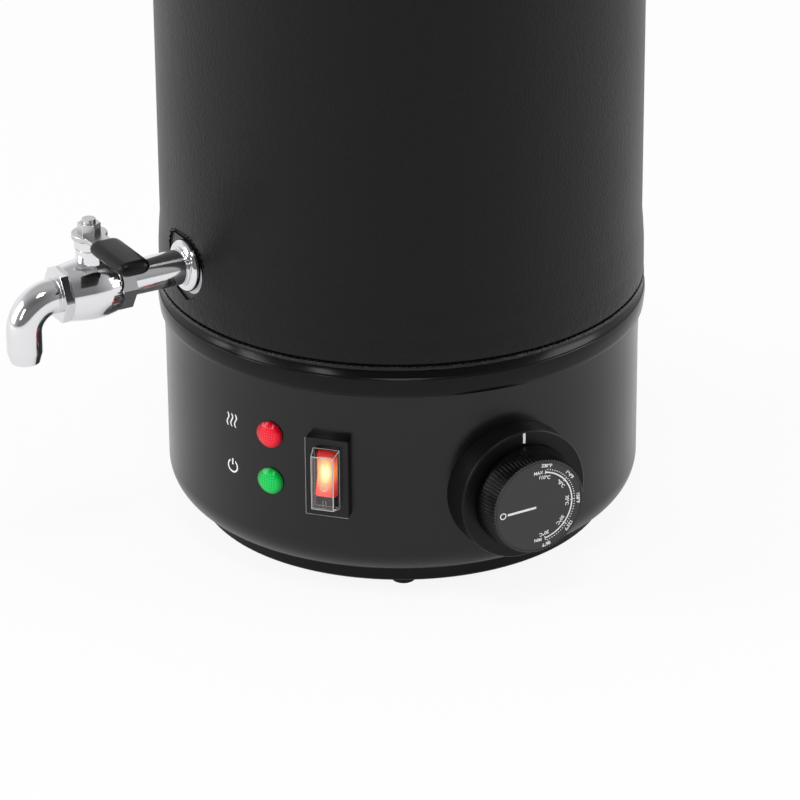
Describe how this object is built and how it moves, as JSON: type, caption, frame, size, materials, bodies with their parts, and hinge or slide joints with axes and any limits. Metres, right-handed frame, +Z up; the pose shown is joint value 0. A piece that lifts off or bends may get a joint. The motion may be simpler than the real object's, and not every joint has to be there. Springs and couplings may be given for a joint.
{
  "type": "candle wax melter",
  "caption": "Round electric wax melting pot in a stitched leather jacket, with a controls base, a ball-valve spout and a glass lid.",
  "frame": {"origin": "on the pot's axis, at the level of the floor under the feet", "axes": "+Z up along the pot's axis, -Y towards the front, +X to the right of someone who faces the front"},
  "size_m": [0.2871, 0.2518, 0.351],
  "materials": {
    "base_paint": "satin black powder coat",
    "ring_paint": "gloss black enamel",
    "shell_steel": "dull black sheet steel",
    "jacket_leather": "fine-grained black artificial leather, stitched",
    "pot_steel": "brushed stainless steel",
    "zinc_steel": "zinc-plated steel",
    "aluminium": "cast aluminium",
    "copper": "bare copper",
    "chrome": "polished chrome",
    "black_plastic": "satin moulded black plastic",
    "gloss_black_plastic": "gloss moulded black plastic",
    "knob_disc": "dark grey printed disc",
    "foot_rubber": "black rubber",
    "gasket_rubber": "red silicone rubber",
    "seat_ptfe": "white PTFE",
    "insulation_wool": "mineral wool felt",
    "ceramic": "white ceramic",
    "clear_cover": "clear PVC",
    "rocker_red": "translucent red, lit from behind",
    "lens_red": "translucent red",
    "lens_green": "translucent green",
    "lamp_white": "white nylon",
    "lid_clear": "clear tempered glass"
  },
  "bodies": {
    "melter": {"base_housing": "base_paint", "shoulder_ring": "ring_paint", "bottom_plate": "black_plastic", "rubber_feet": "foot_rubber", "foot_screws": "zinc_steel", "outer_shell": "shell_steel", "shell_screws": "zinc_steel", "leather_jacket": "jacket_leather", "hem_band": "jacket_leather", "top_ring": "ring_paint", "insulation_sleeve": "insulation_wool", "heat_shield": "aluminium", "inner_pot": "pot_steel", "heater_plate": "aluminium", "heater_clamp": "zinc_steel", "heater_nut": "zinc_steel", "thermostat_body": "ceramic", "thermostat_bulb": "copper", "bulb_clip": "zinc_steel", "thermal_cutout": "ceramic", "terminal_block": "ceramic", "thermostat_screws": "zinc_steel", "knob_bezel": "black_plastic", "switch_housing": "gloss_black_plastic", "switch_terminals": "zinc_steel", "rocker_cover": "clear_cover", "heating_lamp_lens": "lens_red", "standby_lamp_lens": "lens_green", "lamp_bodies": "lamp_white", "lamp_nuts": "lamp_white", "gland_body": "black_plastic", "gland_cap": "black_plastic", "gland_nut": "black_plastic", "spout_pipe": "chrome", "spout_gaskets": "gasket_rubber", "spout_locknut": "zinc_steel", "spout_washer": "chrome", "spout_collar": "chrome", "valve_body": "chrome", "outlet_nozzle": "chrome", "valve_seats": "seat_ptfe", "packing_nut": "chrome"},
    "knob": {"thermostat_shaft": "zinc_steel", "control_knob": "black_plastic", "knob_face": "knob_disc"},
    "switch_rocker": {"rocker": "rocker_red"},
    "valve_handle": {"valve_ball": "chrome", "valve_stem": "zinc_steel", "lever": "zinc_steel", "lever_grip": "black_plastic", "lever_nut": "zinc_steel"},
    "lid": {"lid_glass": "lid_clear", "lid_band": "pot_steel", "lid_vent": "zinc_steel", "lid_knob": "gloss_black_plastic", "lid_knob_screw": "zinc_steel", "lid_washers": "foot_rubber"}
  },
  "joints": [
    {"name": "knob_turn", "type": "hinge", "parent": "melter", "child": "knob", "pos_m": [0.05661, -0.11256, 0.0533], "axis": [0.4493, -0.8934, 0], "range_deg": [0, 266]},
    {"name": "switch_rock", "type": "hinge", "parent": "melter", "child": "switch_rocker", "pos_m": [-0.03286, -0.1055, 0.0627], "axis": [0.9548, -0.2974, 0], "range_deg": [0, 20]},
    {"name": "valve_turn", "type": "hinge", "parent": "melter", "child": "valve_handle", "pos_m": [-0.13683, -0.079, 0.163], "axis": [0, 0, 1], "range_deg": [-90, 0]},
    {"name": "lid_lift", "type": "slide", "parent": "melter", "child": "lid", "axis": [0, 0, 1], "range_m": [0, 0.15]}
  ]
}
